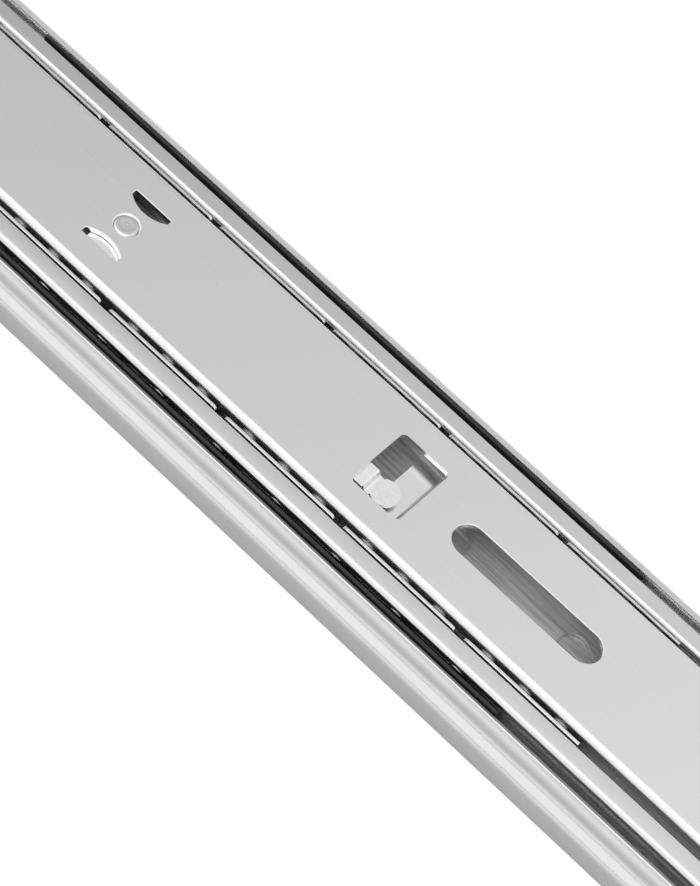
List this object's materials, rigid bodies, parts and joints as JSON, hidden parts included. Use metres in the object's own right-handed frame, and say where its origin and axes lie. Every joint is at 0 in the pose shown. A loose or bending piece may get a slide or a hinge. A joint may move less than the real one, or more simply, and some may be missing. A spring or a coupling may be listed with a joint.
{
  "type": "sliding server rail pair",
  "caption": "Pair of three-section ball-bearing slides for a rack server, closed, with caged ball rows and a sprung latch in each inner member.",
  "frame": {"origin": "middle of the pair, on the plane of the outer members' backs", "axes": "+X along the rails towards the rear of the rack, +Y towards the left rail, +Z out of the rails' faces; the sections slide out towards -X"},
  "size_m": [0.508, 0.1982, 0.0127],
  "materials": {
    "zinc_steel": "satin clear zinc plate",
    "cage_steel": "bright cold rolled strip",
    "ball_steel": "polished",
    "spring_steel": "bright zinc plate",
    "black_plastic": "moulded black"
  },
  "bodies": {
    "rack_members": {"left_outer_member": "zinc_steel", "left_rear_bumper": "black_plastic", "right_outer_member": "zinc_steel", "right_rear_bumper": "black_plastic"},
    "left_middle": {"left_middle_member": "zinc_steel"},
    "left_inner": {"left_inner_member": "zinc_steel", "left_latch_rivet": "zinc_steel"},
    "left_latch": {"left_latch_spring": "spring_steel"},
    "left_outer_balls": {"left_outer_cage_upper": "black_plastic", "left_outer_cage_lower": "black_plastic", "left_outer_balls_upper": "ball_steel", "left_outer_balls_lower": "ball_steel"},
    "left_inner_balls": {"left_inner_cage": "cage_steel", "left_inner_balls_upper": "ball_steel", "left_inner_balls_lower": "ball_steel"},
    "right_middle": {"right_middle_member": "zinc_steel"},
    "right_inner": {"right_inner_member": "zinc_steel", "right_latch_rivet": "zinc_steel"},
    "right_latch": {"right_latch_spring": "spring_steel"},
    "right_outer_balls": {"right_outer_cage_upper": "black_plastic", "right_outer_cage_lower": "black_plastic", "right_outer_balls_upper": "ball_steel", "right_outer_balls_lower": "ball_steel"},
    "right_inner_balls": {"right_inner_cage": "cage_steel", "right_inner_balls_upper": "ball_steel", "right_inner_balls_lower": "ball_steel"}
  },
  "joints": [
    {"name": "left_middle_slide", "type": "slide", "parent": "rack_members", "child": "left_middle", "axis": [-1, 0, 0], "range_m": [0, 0.26]},
    {"name": "left_inner_slide", "type": "slide", "parent": "left_middle", "child": "left_inner", "axis": [-1, 0, 0], "range_m": [0, 0.26]},
    {"name": "left_outer_cage_roll", "type": "slide", "parent": "rack_members", "child": "left_outer_balls", "axis": [-1, 0, 0], "range_m": [0, 0.13]},
    {"name": "left_inner_cage_roll", "type": "slide", "parent": "left_middle", "child": "left_inner_balls", "axis": [-1, 0, 0], "range_m": [0, 0.13]},
    {"name": "left_latch_press", "type": "hinge", "parent": "left_inner", "child": "left_latch", "pos_m": [-0.014, 0.0762, 0.0117], "axis": [0, 1, 0], "range_deg": [0, 0.6], "stiffness_Nm_per_rad": 3},
    {"name": "right_middle_slide", "type": "slide", "parent": "rack_members", "child": "right_middle", "axis": [-1, 0, 0], "range_m": [0, 0.26]},
    {"name": "right_inner_slide", "type": "slide", "parent": "right_middle", "child": "right_inner", "axis": [-1, 0, 0], "range_m": [0, 0.26]},
    {"name": "right_outer_cage_roll", "type": "slide", "parent": "rack_members", "child": "right_outer_balls", "axis": [-1, 0, 0], "range_m": [0, 0.13]},
    {"name": "right_inner_cage_roll", "type": "slide", "parent": "right_middle", "child": "right_inner_balls", "axis": [-1, 0, 0], "range_m": [0, 0.13]},
    {"name": "right_latch_press", "type": "hinge", "parent": "right_inner", "child": "right_latch", "pos_m": [-0.014, -0.0762, 0.0117], "axis": [0, 1, 0], "range_deg": [0, 0.6], "stiffness_Nm_per_rad": 3}
  ],
  "couplings": [
    {"joint": "left_outer_cage_roll", "follows": "left_middle_slide", "ratio": 0.5},
    {"joint": "left_inner_cage_roll", "follows": "left_inner_slide", "ratio": 0.5},
    {"joint": "right_outer_cage_roll", "follows": "right_middle_slide", "ratio": 0.5},
    {"joint": "right_inner_cage_roll", "follows": "right_inner_slide", "ratio": 0.5}
  ]
}
